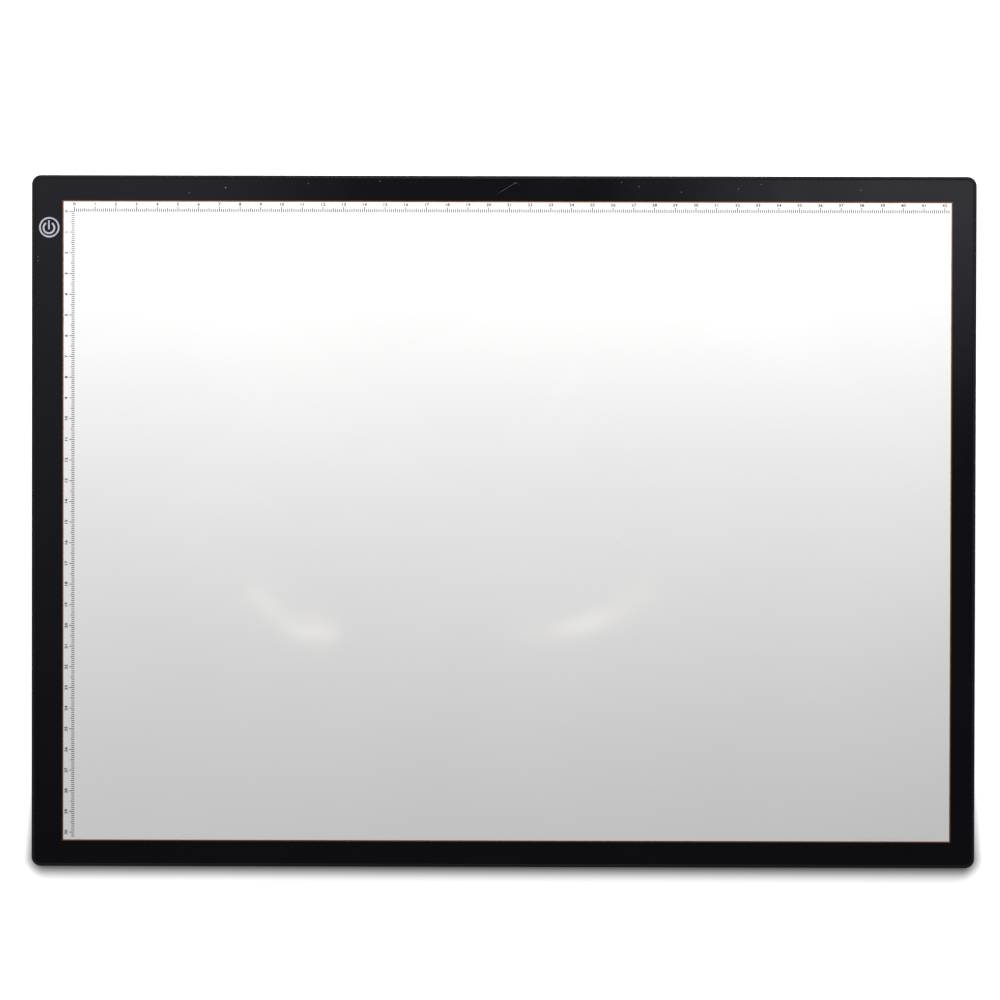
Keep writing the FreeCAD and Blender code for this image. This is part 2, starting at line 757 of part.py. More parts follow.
def cover_screw(x, y):
    """Countersunk screw, head down in the cover, with a cross recess and a pointed tip."""
    z0 = Z_BODY + SCREW_SINK
    cone = (SCREW_HEAD_D - SCREW_SHANK_D) / 2
    head = Part.makeCone(SCREW_HEAD_D / 2, SCREW_SHANK_D / 2, cone, Vec(x, y, z0))
    shank_top = SCREW_TIP - SCREW_POINT_L
    shank = cylinder(x, y, z0 + cone - SUNK, shank_top, SCREW_SHANK_D)
    point = Part.makeCone(SCREW_SHANK_D / 2, SCREW_POINT_D / 2, SCREW_POINT_L, Vec(x, y, shank_top))
    solid = fuse([head, shank, point])
    return solid.cut(Part.makeCompound(cross_recess(x, y, z0 - PAST, z0 + 0.7, 2.2, 0.5)))


def board_screw(x, y):
    z0 = BOARD_Z0 - BOARD_SCREW_HEAD_T
    head = cylinder(x, y, z0, BOARD_Z0, BOARD_SCREW_HEAD_D)
    shank = cylinder(x, y, BOARD_Z0 - SUNK, SCREW_TIP - 4 * SUNK, BOARD_SCREW_SHANK_D)
    solid = fuse([head, shank])
    return solid.cut(Part.makeCompound(cross_recess(x, y, z0 - PAST, z0 + 0.25, 1.7, 0.4)))


# ---------------------------------------------------------------- build

os.makedirs("parts", exist_ok=True)

save("frame", frame())
save("rear_cover", rear_cover())
save("front_panel", front_panel())
save("border_print", border_print())
save("edge_line_print", edge_line_print())
save("panel_tape", panel_tape())
save("reflector_sheet", reflector_sheet())
save("light_guide_plate", light_guide_plate())
save("diffuser_sheet", diffuser_sheet())
save("foam_strip_left", foam_strip(OPTIC_X0, GUIDE_X0))
save("foam_strip_right", foam_strip(GUIDE_X1, OPTIC_X1))
for side_name, sign in (("far", 1), ("near", -1)):
    save("strip_tape_" + side_name, strip_tape(sign))
    save("led_strip_" + side_name, led_strip(sign))
    save("leds_" + side_name, leds(sign))
save("control_board", control_board())
save("usb_socket_shell", usb_socket_shell())
save("usb_socket_tongue", usb_socket_tongue())
save("usb_socket_contacts", usb_socket_contacts())
save("led_driver_chip", chip(BOARD_X0 + 4.8, BOARD_Y0 + 38.5, 4.9, 3.0, 0.9, 4, 1.27))
save("touch_chip", chip(BOARD_X0 + 4.6, BOARD_Y0 + 46.5, 2.9, 1.6, 0.9, 3, 0.95))
save("switch_transistor", chip(BOARD_X0 + 4.2, BOARD_Y0 + 12.0, 2.9, 1.3, 0.9, 2, 1.9))
save("boost_inductor", boost_inductor())
save("schottky_diode", schottky_diode())
save("ceramic_capacitors", ceramic_capacitors())
save("chip_resistors", chip_resistors())
save("touch_spring", touch_spring())
for side_name, sign in (("far", 1), ("near", -1)):
    for wire_colour in WIRE_XS:
        save(wire_colour + "_wire_" + side_name, wire(sign, wire_colour))
save("solder_joints", solder_joints())
save("cover_screws", group([cover_screw(x, y) for x, y in SCREW_POINTS]))
save("board_screws", group([board_screw(BOARD_SCREW_X, y) for y in BOARD_SCREW_YS]))
for foot_name, (foot_x, foot_y) in foot_points().items():
    save(foot_name, rubber_foot(foot_x, foot_y))
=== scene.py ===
import bpy
import bmesh
import math
import random
from mathutils import Matrix, Vector


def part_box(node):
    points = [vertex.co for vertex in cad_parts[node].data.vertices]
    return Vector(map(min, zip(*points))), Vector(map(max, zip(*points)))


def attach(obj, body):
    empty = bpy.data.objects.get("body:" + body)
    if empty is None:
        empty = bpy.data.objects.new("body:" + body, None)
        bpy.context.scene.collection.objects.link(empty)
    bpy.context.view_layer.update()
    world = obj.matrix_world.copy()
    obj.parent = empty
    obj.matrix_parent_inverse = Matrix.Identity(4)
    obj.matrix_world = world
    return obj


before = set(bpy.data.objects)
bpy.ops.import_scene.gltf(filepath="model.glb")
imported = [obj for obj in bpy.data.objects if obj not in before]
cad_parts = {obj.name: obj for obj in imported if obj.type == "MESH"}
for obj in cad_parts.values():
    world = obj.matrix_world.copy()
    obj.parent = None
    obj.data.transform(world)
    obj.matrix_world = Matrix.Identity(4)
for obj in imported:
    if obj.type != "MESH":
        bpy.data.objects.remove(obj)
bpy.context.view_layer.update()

# An A3 LED tracing pad, seen from straight above. All sizes are in metres, in the frame's axes:
# +X to the user's right, +Y away from the user ("far"), +Z up out of the work face.

MM = 0.001

body_low, body_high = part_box("frame")
line_low, line_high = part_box("edge_line_print")
_, print_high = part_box("border_print")
FACE_Z = print_high.z

# the white window lies inside the printed line that runs round it
LINE_WIDTH = 0.6 * MM
window_x0 = line_low.x + LINE_WIDTH
window_y1 = line_high.y - LINE_WIDTH

# ---------------------------------------------------------------- camera

CAMERA_HEIGHT = 1.6
CAMERA_ASIDE = 0.0017
CAMERA_AWAY = 0.0299
CAMERA_TILT_DEGREES = (-0.695, 0.124, 0.13)
CAMERA_LENS_MM = 118.66
CAMERA_SENSOR_MM = 36.0


def make_camera():
    """Camera almost straight above the pad, with the far side at the top of the picture."""
    data = bpy.data.cameras.new("camera")
    data.lens = CAMERA_LENS_MM
    data.sensor_width = CAMERA_SENSOR_MM
    camera = bpy.data.objects.new("camera", data)
    camera.location = (CAMERA_ASIDE, CAMERA_AWAY, CAMERA_HEIGHT)
    camera.rotation_euler = [math.radians(angle) for angle in CAMERA_TILT_DEGREES]
    bpy.context.scene.collection.objects.link(camera)
    bpy.context.scene.camera = camera


# ---------------------------------------------------------------- node helpers

# places of the colour sockets in a Mix node, whose sockets share their names
MIX_COLOUR_A = 6
MIX_COLOUR_B = 7
MIX_COLOUR_OUT = 2

# noise lies mostly between these values
NOISE_LOW = 0.3
NOISE_HIGH = 0.7


class Nodes:
    """Short calls to make and link the nodes of one tree."""

    def __init__(self, tree):
        self.tree = tree

    def node(self, kind, **settings):
        made = self.tree.nodes.new(kind)
        for key, value in settings.items():
            setattr(made, key, value)
        return made

    def link(self, source, target):
        self.tree.links.new(source, target)

    def axes(self, vector):
        """The X, Y and Z outputs of a vector."""
        parts = self.node("ShaderNodeSeparateXYZ")
        self.link(vector, parts.inputs["Vector"])
        return parts.outputs["X"], parts.outputs["Y"], parts.outputs["Z"]

    def maths(self, operation, a, b=0.0):
        """One calculation; a and b are each a float or a node output."""
        made = self.node("ShaderNodeMath", operation=operation)
        for socket, value in zip(made.inputs, (a, b)):
            if isinstance(value, float):
                socket.default_value = value
            else:
                self.link(value, socket)
        return made.outputs["Value"]

    def span(self, value, low_in, high_in, low_out, high_out, curve="LINEAR"):
        """Maps low_in..high_in onto low_out..high_out, clamped."""
        ranged = self.node("ShaderNodeMapRange", interpolation_type=curve)
        ranged.inputs["From Min"].default_value = low_in
        ranged.inputs["From Max"].default_value = high_in
        ranged.inputs["To Min"].default_value = low_out
        ranged.inputs["To Max"].default_value = high_out
        self.link(value, ranged.inputs["Value"])
        return ranged.outputs["Result"]


class Shader(Nodes):
    """A new material with one Principled surface and the textures that feed it."""

    def __init__(self, name):
        self.material = bpy.data.materials.new(name)
        self.material.use_nodes = True
        super().__init__(self.material.node_tree)
        self.tree.nodes.clear()
        output = self.node("ShaderNodeOutputMaterial")
        self.surface = self.node("ShaderNodeBsdfPrincipled")
        self.link(self.surface.outputs["BSDF"], output.inputs["Surface"])
        self.place = self.node("ShaderNodeTexCoord").outputs["Object"]

    def set(self, **values):
        """Sets surface inputs by name, with _ for each space."""
        for key, value in values.items():
            self.surface.inputs[key.replace("_", " ")].default_value = value

    def stretched(self, scale):
        """The object's coordinates, scaled per axis, for marks that run along one axis."""
        mapping = self.node("ShaderNodeMapping")
        mapping.inputs["Scale"].default_value = scale
        self.link(self.place, mapping.inputs["Vector"])
        return mapping.outputs["Vector"]

    def noise(self, size, detail=3.0, rough=0.5, place=None):
        """Noise whose features are about size metres across."""
        texture = self.node("ShaderNodeTexNoise")
        texture.inputs["Scale"].default_value = 1.0 / size
        texture.inputs["Detail"].default_value = detail
        texture.inputs["Roughness"].default_value = rough
        self.link(place or self.place, texture.inputs["Vector"])
        return texture.outputs["Fac"]

    def spread(self, noise, low=0.0, high=1.0):
        """Noise stretched over the whole of low..high."""
        return self.span(noise, NOISE_LOW, NOISE_HIGH, low, high)

    def cells(self, size, feature="F1", place=None):
        """Distance in a field of cells about size metres across."""
        texture = self.node("ShaderNodeTexVoronoi", feature=feature)
        texture.inputs["Scale"].default_value = 1.0 / size
        self.link(place or self.place, texture.inputs["Vector"])
        return texture.outputs["Distance"]

    def blend(self, factor, low, high):
        """Mix of two colours; each is a colour tuple or a node output."""
        mix = self.node("ShaderNodeMix", data_type="RGBA")
        self.link(factor, mix.inputs["Factor"])
        for socket, colour in ((mix.inputs[MIX_COLOUR_A], low), (mix.inputs[MIX_COLOUR_B], high)):
            if isinstance(colour, tuple):
                socket.default_value = (*colour, 1.0)
            else:
                self.link(colour, socket)
        return mix.outputs[MIX_COLOUR_OUT]

    def colour(self, output):
        self.link(output, self.surface.inputs["Base Color"])

    def roughness(self, output):
        self.link(output, self.surface.inputs["Roughness"])

    def bump(self, height, depth, after=None):
        """Adds relief of about depth metres; several can be chained with after."""
        relief = self.node("ShaderNodeBump")
        relief.inputs["Distance"].default_value = depth
        self.link(height, relief.inputs["Height"])
        if after is not None:
            self.link(after, relief.inputs["Normal"])
        self.link(relief.outputs["Normal"], self.surface.inputs["Normal"])
        return relief.outputs["Normal"]


def shaded(colour, by):
    return tuple(channel * by for channel in colour)


def grey(value):
    return (value, value, value)


# ---------------------------------------------------------------- materials of the visible skin

ACRYLIC_IOR = 1.49
ABS_IOR = 1.53


def moulded_plastic(name, colour, grain, relief, rough):
    """Moulded ABS: spark-eroded grain, faint flow marks and slightly polished patches."""
    s = Shader(name)
    patches = s.noise(60 * MM, detail=4.0)
    fine = s.noise(grain, detail=2.0, rough=0.6)
    tone = s.blend(s.span(patches, 0.35, 0.65, 0.0, 1.0), shaded(colour, 0.82), shaded(colour, 1.22))
    s.colour(s.blend(s.spread(fine, high=0.35), tone, shaded(colour, 1.6)))
    s.roughness(s.spread(s.noise(20 * MM, detail=5.0), *rough))
    s.bump(fine, relief)
    s.set(IOR=ABS_IOR, Specular_IOR_Level=0.12)
    return s.material


def white_acrylic():
    """Polished opal acrylic: almost even white, faint waviness, and fine wiping marks in the gloss."""
    s = Shader("white_acrylic")
    clouds = s.spread(s.noise(120 * MM))
    s.colour(s.blend(clouds, (0.690, 0.685, 0.676), (0.712, 0.707, 0.697)))
    wiping = s.noise(1.2 * MM, rough=0.6, place=s.stretched((0.05, 1.0, 1.0)))
    smears = s.noise(45 * MM, detail=5.0, rough=0.6)
    s.roughness(s.span(s.maths("ADD", wiping, smears), 0.7, 1.3, 0.045, 0.065))
    sag = s.bump(s.noise(90 * MM, detail=1.0), 0.12 * MM)
    s.bump(s.noise(4 * MM, detail=2.0), 0.0015 * MM, after=sag)
    s.set(IOR=ACRYLIC_IOR)
    return s.material


def black_print():
    """Gloss black print: deep black, with dust-like specks and hairline scratches."""
    s = Shader("black_print")
    specks = s.span(s.cells(11 * MM), 0.0, 0.03, 1.0, 0.0)
    few = s.span(s.noise(30 * MM, detail=1.0), 0.58, 0.6, 0.0, 1.0)
    edges = s.cells(10 * MM, "DISTANCE_TO_EDGE", place=s.stretched((0.35, 1.3, 1.0)))
    hairs = s.span(edges, 0.0, 0.006, 1.0, 0.0)
    light_hairs = s.maths("MULTIPLY", hairs, s.span(s.noise(20 * MM, detail=2.0), 0.55, 0.7, 0.0, 0.12))
    marks = s.maths("MAXIMUM", s.maths("MULTIPLY", specks, few), light_hairs)
    clouds = s.spread(s.noise(50 * MM, detail=4.0))
    ink = s.blend(clouds, (0.0020, 0.0021, 0.0024), (0.0027, 0.0028, 0.0032))
    s.colour(s.blend(marks, ink, (0.06, 0.06, 0.065)))
    polish = s.spread(s.noise(30 * MM, detail=5.0), 0.06, 0.12)
    s.roughness(s.maths("ADD", polish, s.maths("MULTIPLY", marks, 0.2)))
    s.bump(s.noise(3.5 * MM, detail=2.0), 0.003 * MM)
    s.set(IOR=ACRYLIC_IOR, Specular_Tint=(0.90, 0.90, 1.0, 1.0))
    return s.material


def printed_ink(name, colour, rough):
    """Screen-printed ink: slightly uneven coverage over the mesh of the screen."""
    s = Shader(name)
    uneven = s.noise(1.5 * MM)
    s.colour(s.blend(s.spread(uneven), shaded(colour, 0.85), shaded(colour, 1.15)))
    s.roughness(s.spread(s.noise(0.6 * MM, detail=2.0), rough - 0.05, rough + 0.08))
    s.bump(uneven, 0.004 * MM)
    s.set(Specular_IOR_Level=0.15)
    return s.material


def soft_rubber(name, colour):
    """Matt rubber with a little pale dust."""
    s = Shader(name)
    dust = s.span(s.noise(1.5 * MM, detail=5.0, rough=0.65), 0.52, 0.75, 0.0, 0.5)
    s.colour(s.blend(dust, colour, (0.16, 0.155, 0.15)))
    s.roughness(s.spread(s.noise(2 * MM), 0.72, 0.92))
    s.bump(s.noise(0.3 * MM), 0.02 * MM)
    return s.material


def metal(name, colour, rough, grain=(1.0, 1.0, 1.0)):
    """Drawn, stamped or plated metal with a grain that runs along the axis of small scale."""
    s = Shader(name)
    lines = s.noise(0.4 * MM, rough=0.6, place=s.stretched(grain))
    tarnish = s.noise(3 * MM, detail=4.0)
    s.colour(s.blend(s.span(tarnish, 0.35, 0.7, 0.0, 1.0), shaded(colour, 1.05), shaded(colour, 0.7)))
    s.roughness(s.spread(lines, *rough))
    s.bump(lines, 0.004 * MM)
    s.set(Metallic=1.0)
    return s.material


# ---------------------------------------------------------------- materials of the inner pieces


def film(name, colour, rough, fleck_size):
    """Optical film, tape or insulation: even, with very fine flecks."""
    s = Shader(name)
    flecks = s.noise(fleck_size, detail=2.0)
    s.colour(s.blend(s.spread(flecks), shaded(colour, 0.95), colour))
    s.roughness(s.spread(flecks, rough - 0.06, rough + 0.06))
    s.bump(flecks, 0.004 * MM)
    return s.material


def light_guide():
    """Clear acrylic with a scatter of small white dots on it."""
    s = Shader("clear_acrylic")
    dots = s.span(s.cells(2.2 * MM), 0.18, 0.22, 1.0, 0.0)
    s.colour(s.blend(dots, (0.72, 0.82, 0.84), (0.93, 0.94, 0.94)))
    s.roughness(s.span(dots, 0.0, 1.0, 0.05, 0.5))
    s.bump(dots, 0.01 * MM)
    s.set(IOR=ACRYLIC_IOR)
    return s.material


def foam():
    """Dark open foam with fine pores, each painted darker in its hollow as shade."""
    s = Shader("foam")
    pores = s.cells(0.6 * MM)
    # painted shade: the colour darkens towards the middle of each pore's hollow
    s.colour(s.blend(s.span(pores, 0.1, 0.6, 0.0, 1.0), grey(0.02), grey(0.10)))
    s.roughness(s.span(pores, 0.0, 0.6, 0.8, 0.98))
    s.bump(pores, 0.1 * MM)
    return s.material


TRACK_SCALE = 320.0
TRACK_GAP = 0.035


def circuit_board(name, colour, track_colour):
    """Solder mask over fine copper tracks that show as a slightly different shade."""
    s = Shader(name)
    tracks = s.node("ShaderNodeTexBrick", offset=0.5)
    tracks.inputs["Scale"].default_value = TRACK_SCALE
    tracks.inputs["Mortar Size"].default_value = TRACK_GAP
    tracks.inputs["Color1"].default_value = (*colour, 1.0)
    tracks.inputs["Color2"].default_value = (*shaded(colour, 1.15), 1.0)
    tracks.inputs["Mortar"].default_value = (*track_colour, 1.0)
    s.link(s.place, tracks.inputs["Vector"])
    weave = s.noise(0.7 * MM, detail=2.0)
    s.colour(s.blend(s.spread(weave, high=0.25), tracks.outputs["Color"], shaded(colour, 0.7)))
    s.roughness(s.spread(weave, 0.28, 0.42))
    s.bump(tracks.outputs["Fac"], 0.01 * MM)
    return s.material


def led_package():
    """Moulded package with the yellow of its phosphor."""
    s = Shader("led_package")
    grain = s.noise(0.3 * MM, detail=2.0)
    s.colour(s.blend(s.spread(grain), (0.86, 0.80, 0.42), (0.93, 0.90, 0.66)))
    s.roughness(s.spread(grain, 0.3, 0.5))
    s.bump(grain, 0.01 * MM)
    return s.material


def fired_ceramic(name, colour):
    """Fine-grained ceramic, as in ferrites and chip parts."""
    s = Shader(name)
    grain = s.noise(0.2 * MM, detail=4.0)
    s.colour(s.blend(s.spread(grain), shaded(colour, 0.8), shaded(colour, 1.2)))
    s.roughness(s.spread(grain, 0.35, 0.6))
    s.bump(grain, 0.01 * MM)
    return s.material


def paint(material, *nodes):
    """Gives every CAD node named here the material, in all of its slots, with flat faces."""
    for name in nodes:
        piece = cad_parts[name]
        for slot in piece.material_slots:
            slot.material = material
        for face in piece.data.polygons:
            face.use_smooth = False


# ---------------------------------------------------------------- pieces over the CAD model

# print stands just proud of the face, and is sunk into it a little so that no gap shows
INK_HEIGHT = 0.02 * MM
INK_SUNK = 0.005 * MM
INK_Z0 = FACE_Z - INK_SUNK
INK_Z1 = FACE_Z + INK_HEIGHT


def add_box(mesh, low, high):
    made = bmesh.ops.create_cube(mesh, size=1.0)
    size = Vector(high) - Vector(low)
    middle = (Vector(high) + Vector(low)) / 2
    bmesh.ops.scale(mesh, vec=size, verts=made["verts"])
    bmesh.ops.translate(mesh, vec=middle, verts=made["verts"])


def add_prism(mesh, outline, z0, z1):
    """Upright prism over an outline of (x, y) corners."""
    lower = [mesh.verts.new((x, y, z0)) for x, y in outline]
    upper = [mesh.verts.new((x, y, z1)) for x, y in outline]
    mesh.faces.new(upper)
    mesh.faces.new(list(reversed(lower)))
    for i in range(len(outline)):
        j = (i + 1) % len(outline)
        mesh.faces.new((lower[i], lower[j], upper[j], upper[i]))


def new_piece(name, mesh, material):
    """Turns a bmesh into a flat-shaded piece that rides on the pad."""
    data = bpy.data.meshes.new(name)
    bmesh.ops.recalc_face_normals(mesh, faces=mesh.faces)
    mesh.to_mesh(data)
    mesh.free()
    data.materials.append(material)
    for face in data.polygons:
        face.use_smooth = False
    piece = bpy.data.objects.new(name, data)
    bpy.context.scene.collection.objects.link(piece)
    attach(piece, "root")


# ---------------------------------------------------------------- printed rulers

FAR_RULER_MM = 422
FAR_RULER_CM = 42
LEFT_RULER_MM = 302
LEFT_RULER_CM = 30

# each ruler: how far its zero and its ticks' inner ends lie in from the window's edges, and tick width
FAR_RULER_START = 5.15 * MM
FAR_TICKS_IN = 4.90 * MM
FAR_TICK_WIDTH = 0.38 * MM
LEFT_RULER_START = 4.75 * MM
LEFT_TICKS_IN = 5.30 * MM
LEFT_TICK_WIDTH = 0.33 * MM

TICK_MM = 1.50 * MM
TICK_5MM = 1.85 * MM
TICK_CM = 2.45 * MM

DIGIT_HEIGHT = 1.35 * MM
DIGIT_PER_FONT_SIZE = 0.70
DIGIT_SPACING = 1.04
DIGIT_BOLDER = 0.055 * MM
DIGIT_WIDER = 1.2
DIGIT_CURVE_STEPS = 3
FAR_DIGIT_MIDDLE = 1.15 * MM
LEFT_DIGIT_MIDDLE = 1.24 * MM


def tick_length(millimetre):
    if millimetre % 10 == 0:
        return TICK_CM
    return TICK_5MM if millimetre % 5 == 0 else TICK_MM


def far_ticks(ink):
    """Millimetre ticks along the far edge, whose near ends line up."""
    mesh = bmesh.new()
    half = FAR_TICK_WIDTH / 2
    y = window_y1 - FAR_TICKS_IN
    for millimetre in range(FAR_RULER_MM + 1):
        x = window_x0 + FAR_RULER_START + millimetre * MM
        add_box(mesh, (x - half, y, INK_Z0), (x + half, y + tick_length(millimetre), INK_Z1))
    new_piece("ruler_ticks_far", mesh, ink)


def left_ticks(ink):
    """Millimetre ticks along the left edge, whose right ends line up."""
    mesh = bmesh.new()
    half = LEFT_TICK_WIDTH / 2
    x = window_x0 + LEFT_TICKS_IN
    for millimetre in range(LEFT_RULER_MM + 1):
        y = window_y1 - LEFT_RULER_START - millimetre * MM
        add_box(mesh, (x - tick_length(millimetre), y - half, INK_Z0), (x, y + half, INK_Z1))
    new_piece("ruler_ticks_left", mesh, ink)


def digits_mesh(text):
    """Closed thin solid of one number, centred on the origin in X and Z and standing on it in Y."""
    curve = bpy.data.curves.new("digits", "FONT")
    curve.body = text
    curve.align_x = "CENTER"
    curve.size = DIGIT_HEIGHT / DIGIT_PER_FONT_SIZE
    curve.space_character = DIGIT_SPACING
    curve.extrude = INK_HEIGHT / 2
    curve.offset = DIGIT_BOLDER
    curve.resolution_u = DIGIT_CURVE_STEPS
    holder = bpy.data.objects.new("digits", curve)
    bpy.context.scene.collection.objects.link(holder)
    bpy.context.view_layer.update()
    mesh = bpy.data.meshes.new_from_object(holder)
    bpy.data.objects.remove(holder)
    bpy.data.curves.remove(curve)
    return mesh


def add_number(mesh, number, x, y, turn_degrees):
    """Adds a number whose middle is at x, y, turned about its middle."""
    glyphs = digits_mesh(str(number))
    place = Matrix.Translation((x, y, FACE_Z + INK_HEIGHT / 2))
    turn = Matrix.Rotation(math.radians(turn_degrees), 4, "Z")
    wider = Matrix.Diagonal((DIGIT_WIDER, 1.0, 1.0, 1.0))
    drop = Matrix.Translation((0, -DIGIT_HEIGHT / 2, 0))
    glyphs.transform(place @ turn @ wider @ drop)
    mesh.from_mesh(glyphs)
    bpy.data.meshes.remove(glyphs)


def far_digits(ink):
    """A number at every centimetre of the far ruler, upright."""
    mesh = bmesh.new()
    y = window_y1 - FAR_DIGIT_MIDDLE
    for number in range(FAR_RULER_CM + 1):
        x = window_x0 + FAR_RULER_START + number * 10 * MM
        add_number(mesh, number, x, y, 0)
    new_piece("ruler_digits_far", mesh, ink)


def left_digits(ink):
    """A number at every centimetre of the left ruler, turned a quarter to the left."""
    mesh = bmesh.new()
    x = window_x0 + LEFT_DIGIT_MIDDLE
    for number in range(LEFT_RULER_CM + 1):
        y = window_y1 - LEFT_RULER_START - number * 10 * MM
        add_number(mesh, number, x, y, 90)
    new_piece("ruler_digits_left", mesh, ink)


# ---------------------------------------------------------------- printed power symbol

KEY_FROM_LEFT = 8.45 * MM
KEY_FROM_FAR = 25.25 * MM
KEY_RING_RADIUS = 4.9 * MM
KEY_RING_WIDTH = 0.75 * MM
KEY_RING_STEPS = 96

# the arc and its bar sit a little off the ring's centre
KEY_ARC_OFF = Vector((-0.2, -0.25, 0)) * MM
KEY_ARC_RADIUS = 3.05 * MM
KEY_ARC_WIDTH = 0.85 * MM
KEY_ARC_HALF_GAP_DEGREES = 33
KEY_ARC_STEPS = 64
KEY_BAR_BOTTOM = -0.8 * MM
KEY_BAR_TOP = 3.65 * MM
KEY_BAR_WIDTH = 0.8 * MM
KEY_BAR_STEPS = 12


def arc_band(mesh, centre, outer, width, start, end, steps):
    """Flat thin band along an arc, in degrees; a closed ring when end - start is 360."""
    full = end - start >= 360
    rings = []
    for i in range(steps + (0 if full else 1)):
        angle = math.radians(start + (end - start) * i / steps)
        way = Vector((math.cos(angle), math.sin(angle), 0))
        inside = centre + way * (outer - width)
        outside = centre + way * outer
        corners = [(inside, INK_Z0), (outside, INK_Z0), (outside, INK_Z1), (inside, INK_Z1)]
        rings.append([mesh.verts.new((p.x, p.y, z)) for p, z in corners])
    pairs = list(zip(rings, rings[1:])) + ([(rings[-1], rings[0])] if full else [])
    for a, b in pairs:
        for k in range(4):
            mesh.faces.new((a[k], a[(k + 1) % 4], b[(k + 1) % 4], b[k]))
    if not full:
        mesh.faces.new(rings[0])
        mesh.faces.new(list(reversed(rings[-1])))


def round_bar(mesh, x, low_y, high_y, width):
    """Bar along Y with round ends."""
    half = width / 2
    outline = []
    for middle_y, start in ((high_y - half, 0), (low_y + half, 180)):
        for i in range(KEY_BAR_STEPS + 1):
            angle = math.radians(start + 180 * i / KEY_BAR_STEPS)
            outline.append((x + math.cos(angle) * half, middle_y + math.sin(angle) * half))
    add_prism(mesh, outline, INK_Z0, INK_Z1)


def power_symbol(ink):
    """Standby mark in a ring, printed over the touch key."""
    mesh = bmesh.new()
    ring = Vector((body_low.x + KEY_FROM_LEFT, body_high.y - KEY_FROM_FAR, 0))
    arc_band(mesh, ring, KEY_RING_RADIUS, KEY_RING_WIDTH, 0, 360, KEY_RING_STEPS)
    arc = ring + KEY_ARC_OFF
    top = 90
    start = top + KEY_ARC_HALF_GAP_DEGREES
    end = top + 360 - KEY_ARC_HALF_GAP_DEGREES
    arc_band(mesh, arc, KEY_ARC_RADIUS, KEY_ARC_WIDTH, start, end, KEY_ARC_STEPS)
    round_bar(mesh, arc.x, arc.y + KEY_BAR_BOTTOM, arc.y + KEY_BAR_TOP, KEY_BAR_WIDTH)
    new_piece("power_symbol", mesh, ink)


# ---------------------------------------------------------------- wear on the face

# x from the pad's centre, in from the pad's far edge, and across, in millimetres
FLECKS = (
    # the first two are a pair of light specks at the left rim
    (-225.0, 39.5, 0.6),
    (-225.0, 41.4, 0.6),
    (-152.0, 8.5, 0.7),
    (-134.5, 6.0, 0.9),
    (-94.5, 3.9, 0.6),
    (-60.0, 2.6, 0.6),
    (7.2, 1.1, 0.8),
    (56.5, 3.0, 0.6),
    (65.0, 5.1, 0.7),
    (85.5, 7.7, 0.8),
    (113.0, 6.0, 0.6),
    (124.0, 3.9, 0.6),
    (172.0, 6.7, 0.7),
)
FLECK_SEED = 7
FLECK_CORNERS = 7
FLECK_UNEVEN_DEGREES = 15
FLECK_SMALLEST = 0.55

# corners of each scratch, in the same measures
BORDER_SCRATCH = ((-5.4, 10.0), (5.7, 3.2), (8.1, 4.7))
PANEL_SCRATCH = ((45.0, 167.5), (56.0, 175.0), (68.0, 184.5))
SCRATCH_WIDTH = 0.13 * MM
WEAR_Z1 = FACE_Z + INK_HEIGHT / 2


def fleck(mesh, x, y, across, dice):
    """Small flat light fleck with an uneven outline."""
    outline = []
    for i in range(FLECK_CORNERS):
        uneven = dice.uniform(-FLECK_UNEVEN_DEGREES, FLECK_UNEVEN_DEGREES)
        angle = math.radians(360 / FLECK_CORNERS * i + uneven)
        reach = across / 2 * dice.uniform(FLECK_SMALLEST, 1.0)
        outline.append((x + math.cos(angle) * reach, y + math.sin(angle) * reach))
    add_prism(mesh, outline, INK_Z0, WEAR_Z1)


def scratch(mesh, corners):
    """Thin raised burr along a line through the corners, pointed at both ends."""
    path = [Vector((x * MM, body_high.y - inward * MM)) for x, inward in corners]
    left = []
    right = []
    for before, here, after in zip(path, path[1:], path[2:]):
        along = (after - before).normalized()
        across = Vector((-along.y, along.x)) * SCRATCH_WIDTH / 2
        left.append(tuple(here + across))
        right.append(tuple(here - across))
    outline = [tuple(path[0]), *right, tuple(path[-1]), *reversed(left)]
    add_prism(mesh, outline, INK_Z0, WEAR_Z1)


def border_wear(material):
    """Light flecks and one scratch in the border."""
    dice = random.Random(FLECK_SEED)
    mesh = bmesh.new()
    for x, inward, across in FLECKS:
        fleck(mesh, x * MM, body_high.y - inward * MM, across * MM, dice)
    scratch(mesh, BORDER_SCRATCH)
    new_piece("border_wear", mesh, material)


def panel_scratch(material):
    """One hairline in the panel."""
    mesh = bmesh.new()
    scratch(mesh, PANEL_SCRATCH)
    new_piece("panel_scratch", mesh, material)


# ---------------------------------------------------------------- floor

FLOOR_SIZE = 12.0

# the floor's painted glow outside the painted shadow
PAINTED_FLOOR_GLOW = 0.76

# the painted shadow's round corner, and how far out from the pad's edge it starts and ends
SHADOW_CORNER = 4.5 * MM
SHADOW_FROM = -0.6 * MM
SHADOW_REACH = 9.6 * MM

# up both sides the painted shadow sinks under the pad, from the near corner to SIDE_FADE away
SIDE_UNDER = 6 * MM
SIDE_UNDER_NEAR = 1.0 * MM
SIDE_FADE = 45 * MM


